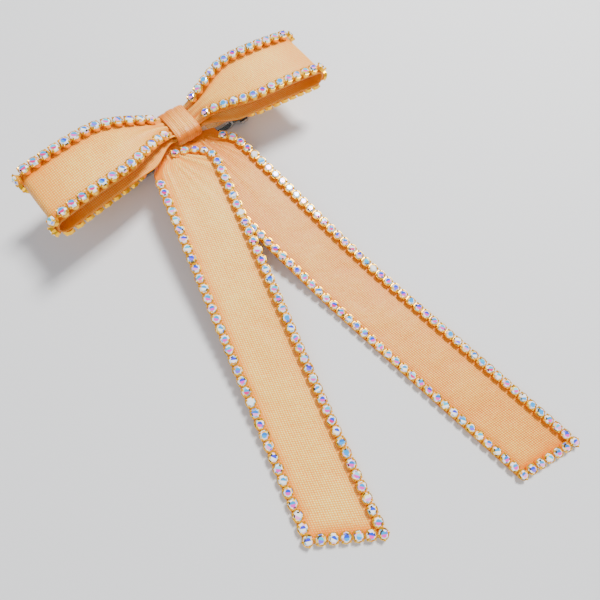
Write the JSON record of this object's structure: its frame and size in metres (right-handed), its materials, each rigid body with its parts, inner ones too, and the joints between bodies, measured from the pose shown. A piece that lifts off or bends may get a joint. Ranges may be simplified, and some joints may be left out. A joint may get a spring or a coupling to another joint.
{
  "type": "bow hair clip",
  "caption": "Satin bow hair clip with two long tails, edged with claw-set round crystals on gold cup chain, on a spring barrette with a swinging clasp arm.",
  "frame": {"origin": "centre of the clasp arm's flat underside, below the knot; the clip lies on its back on z = 0", "axes": "+X along the bow, -Y down the tails, +Z away from the hair, out of the front of the bow"},
  "size_m": [0.1142, 0.1859, 0.0238],
  "materials": {
    "satin": "peach champagne polyester satin ribbon, soft sheen",
    "thread": "matt polyester thread",
    "glue": "set hot-melt glue, milky",
    "cup_metal": "bright gold-plated stamped brass",
    "crystal": "faceted glass with an iridescent coating and a foiled back",
    "clip_steel": "nickel-plated pressed steel",
    "spring_steel": "rolled spring steel",
    "rivet_steel": "bright rivet wire"
  },
  "bodies": {
    "bow": {"loop_ribbon": "satin", "binding_thread": "thread", "knot_wrap": "satin", "glue_pad": "glue", "loop_upper_cups": "cup_metal", "loop_upper_stones": "crystal", "loop_lower_cups": "cup_metal", "loop_lower_stones": "crystal", "loop_chain_links": "cup_metal", "top_plate": "clip_steel", "hinge_pin": "rivet_steel", "catch_saddle": "clip_steel", "catch_rivet": "rivet_steel"},
    "left_tail": {"left_tail_ribbon": "satin", "left_tail_cups": "cup_metal", "left_tail_stones": "crystal", "left_tail_links": "cup_metal"},
    "right_tail": {"right_tail_ribbon": "satin", "right_tail_cups": "cup_metal", "right_tail_stones": "crystal", "right_tail_links": "cup_metal"},
    "arm": {"clasp_arm": "clip_steel"},
    "strip": {"tension_strip": "spring_steel"},
    "front_prong": {"release_prong_front": "clip_steel"},
    "rear_prong": {"release_prong_rear": "clip_steel"}
  },
  "joints": [
    {"name": "left_tail_swing", "type": "hinge", "parent": "bow", "child": "left_tail", "pos_m": [-0.0039, 0, 0.009], "axis": [0, 0, 1], "range_deg": [-20, 5]},
    {"name": "right_tail_swing", "type": "hinge", "parent": "bow", "child": "right_tail", "pos_m": [0.0018, 0, 0.008], "axis": [0, 0, 1], "range_deg": [-5, 20]},
    {"name": "arm_swing", "type": "hinge", "parent": "bow", "child": "arm", "pos_m": [-0.028, 0, 0.0016], "axis": [0, 1, 0], "range_deg": [0, 75]},
    {"name": "strip_flex", "type": "hinge", "parent": "bow", "child": "strip", "pos_m": [-0.028, 0, 0.0016], "axis": [0, -1, 0], "range_deg": [0, 2.4], "stiffness_Nm_per_rad": 0.05},
    {"name": "front_prong_squeeze", "type": "hinge", "parent": "bow", "child": "front_prong", "pos_m": [0.026, -0.0014, 0.00305], "axis": [1, 0, 0], "range_deg": [0, 5], "stiffness_Nm_per_rad": 0.01},
    {"name": "rear_prong_squeeze", "type": "hinge", "parent": "bow", "child": "rear_prong", "pos_m": [0.026, 0.0014, 0.00305], "axis": [-1, 0, 0], "range_deg": [0, 5], "stiffness_Nm_per_rad": 0.01}
  ]
}
